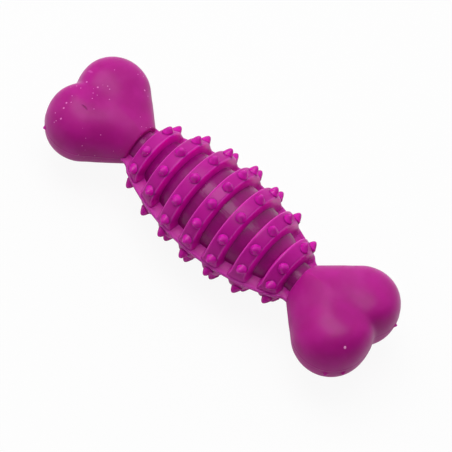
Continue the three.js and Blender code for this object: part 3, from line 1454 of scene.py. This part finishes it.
@dataclass(frozen=True)
class Studio:
    """White floor, soft overhead light and the camera, about the middle of the bar."""

    centre: Vector
    yaw: float = math.radians(14.01)
    roll: float = math.radians(27.21)
    twist: float = math.radians(40.46)
    distance: float = 1217.9 * MM
    shift_right: float = -2.05 * MM
    shift_up: float = 4.45 * MM
    lens: float = 265.5
    sensor: float = 36.0
    floor_size: float = 6.0
    floor_paint: float = 0.7
    floor_white: float = 0.92
    floor_mirrored: float = 0.2
    softbox_direction: Triple = (-0.22, 0.06, 0.97)
    softbox_distance: float = 0.9
    softbox_width: float = 0.5
    softbox_depth: float = 0.75
    softbox_power: float = 5.6
    sky_direction: Triple = (-0.7, 0.6, 0.4)
    sky_range: tuple[float, float] = (-0.5, 0.7)
    sky_bright: float = 0.85
    sky_dark: float = 0.2

    def axes(self) -> tuple[Vector, Vector, Vector]:
        """Finds the camera's axes.

        Returns:
            Its right, up and backward directions.
        """
        back = Vector((
            math.sin(self.yaw),
            -math.cos(self.yaw) * math.sin(self.roll),
            math.cos(self.yaw) * math.cos(self.roll)))
        bar = Vector((1.0, 0.0, 0.0))
        level = (bar - back * bar.dot(back)).normalized()
        across = back.cross(level)
        right = level * math.cos(self.twist) + across * math.sin(self.twist)
        return right, back.cross(right), back

    def build_camera(self) -> None:
        """Sets the camera where the photograph was taken from."""
        right, up, back = self.axes()
        data = bpy.data.cameras.new("camera")
        data.sensor_width = self.sensor
        data.lens = self.lens
        data.clip_end = 2 * self.floor_size
        camera = placed("camera", data)
        place = self.centre + back * self.distance - right * self.shift_right - up * self.shift_up
        turn = Matrix((right, up, back)).transposed().to_4x4()
        camera.matrix_world = Matrix.Translation(place) @ turn
        bpy.context.scene.camera = camera

    def build_floor(self) -> None:
        """Lays the white floor, which keeps a soft shadow."""
        half = self.floor_size / 2
        corners = [(-half, -half, 0.0), (half, -half, 0.0), (half, half, 0.0), (-half, half, 0.0)]
        mesh = bpy.data.meshes.new("floor")
        mesh.from_pydata(corners, [], [(0, 1, 2, 3)])
        mesh.materials.append(self.floor_material())
        placed("floor", mesh)

    def floor_material(self) -> bpy.types.Material:
        """Mixes the floor's paint with plain white.

        Returns:
            The material: white as it is seen, and paint where light falls on it.
        """
        material = bpy.data.materials.new("floor_white")
        material.use_nodes = True
        material.node_tree.nodes.clear()
        bench = Bench(material.node_tree)
        tone = (self.floor_paint, self.floor_paint, self.floor_paint, 1.0)
        paint = bench.add("ShaderNodeBsdfDiffuse", {"Color": tone}).outputs[0]
        white = bench.add("ShaderNodeEmission", {"Color": WHITE, "Strength": 1.0}).outputs[0]
        mix = bench.add("ShaderNodeMixShader", {0: self.seen(bench), 1: paint, 2: white}).outputs[0]
        bench.add("ShaderNodeOutputMaterial", {"Surface": mix})
        return material

    def seen(self, bench: Bench) -> Field:
        """Finds how much of the floor is plain white.

        Args:
            bench: The floor's tree.

        Returns:
            The share: most for the camera, less in a gloss or a clear piece, none for falling light.
        """
        path = bench.add("ShaderNodeLightPath").outputs
        names = ("Is Camera Ray", "Is Glossy Ray", "Is Transmission Ray")
        camera, gloss, clear = (Field(bench, path[name]) for name in names)
        return (camera * self.floor_white).at_least((gloss + clear).at_most(1.0) * self.floor_mirrored)

    def build_light(self) -> None:
        """Hangs one broad softbox over the bar."""
        data = bpy.data.lights.new("softbox", "AREA")
        data.shape = "RECTANGLE"
        data.size = self.softbox_width
        data.size_y = self.softbox_depth
        data.energy = self.softbox_power
        softbox = placed("softbox", data)
        towards = Vector(self.softbox_direction).normalized()
        turn = towards.to_track_quat("Z", "Y").to_matrix().to_4x4()
        softbox.matrix_world = Matrix.Translation(self.centre + towards * self.softbox_distance) @ turn

    def build_sky(self) -> None:
        """Lights the rest from a pale sky that is bright behind the bar and dim in front of it."""
        world = bpy.data.worlds.new("sky")
        world.use_nodes = True
        bpy.context.scene.world = world
        bench = Bench(world.node_tree)
        background = world.node_tree.nodes["Background"].inputs
        background["Color"].default_value = WHITE
        direction = bench.add("ShaderNodeTexCoord").outputs["Generated"]
        brightest = Vector(self.sky_direction).normalized()
        facing = Field(bench, bench.arrow("DOT_PRODUCT", direction, brightest).outputs["Value"])
        share = bench.ramp(facing, *self.sky_range)
        bench.plug(background["Strength"], share * (self.sky_bright - self.sky_dark) + self.sky_dark)

    def build(self) -> None:
        """Makes the camera, the floor and the light, and sets the plain view transform."""
        self.build_camera()
        self.build_floor()
        self.build_light()
        self.build_sky()
        bpy.context.scene.view_settings.view_transform = "Standard"


def main() -> None:
    """Builds the chew piece by piece."""
    logging.basicConfig(level=logging.INFO, format="%(name)s: %(message)s")
    bar = Spindle.from_frame()
    Studio(Vector((0.0, 0.0, bar.axis_height))).build()
    core = CoreBar(bar).build()
    dress(core, "core_bar", CORE_RUBBER, CORE_RUBBER.material(bar))
    heart_rubber = HEART_RUBBER.material(bar)
    left = HeartEnd(bar, Side.LEFT)
    # The right heart is a little fuller, leans a little, and its cleft sits to one side.
    right = HeartEnd(
        bar, Side.RIGHT, lean=math.radians(0.9), sideways=-0.35 * MM, cleft_turn=math.radians(7.4),
        flank=6.5 * MM, lobe_radius=14.95 * MM)
    for heart in (left, right):
        dress(heart.build(), heart.side.value, HEART_RUBBER, heart_rubber)
    rib_rubber = RIB_RUBBER.material(bar)
    for half in Half:
        tree = BarrelTree(BarrelSizes.for_bar(bar, half), 2 * bar.ribs_each_side + 1)
        dress(BarrelHalf(bar, half).build(tree, rib_rubber), half.value, RIB_RUBBER, rib_rubber)


if __name__ == "__main__":
    main()
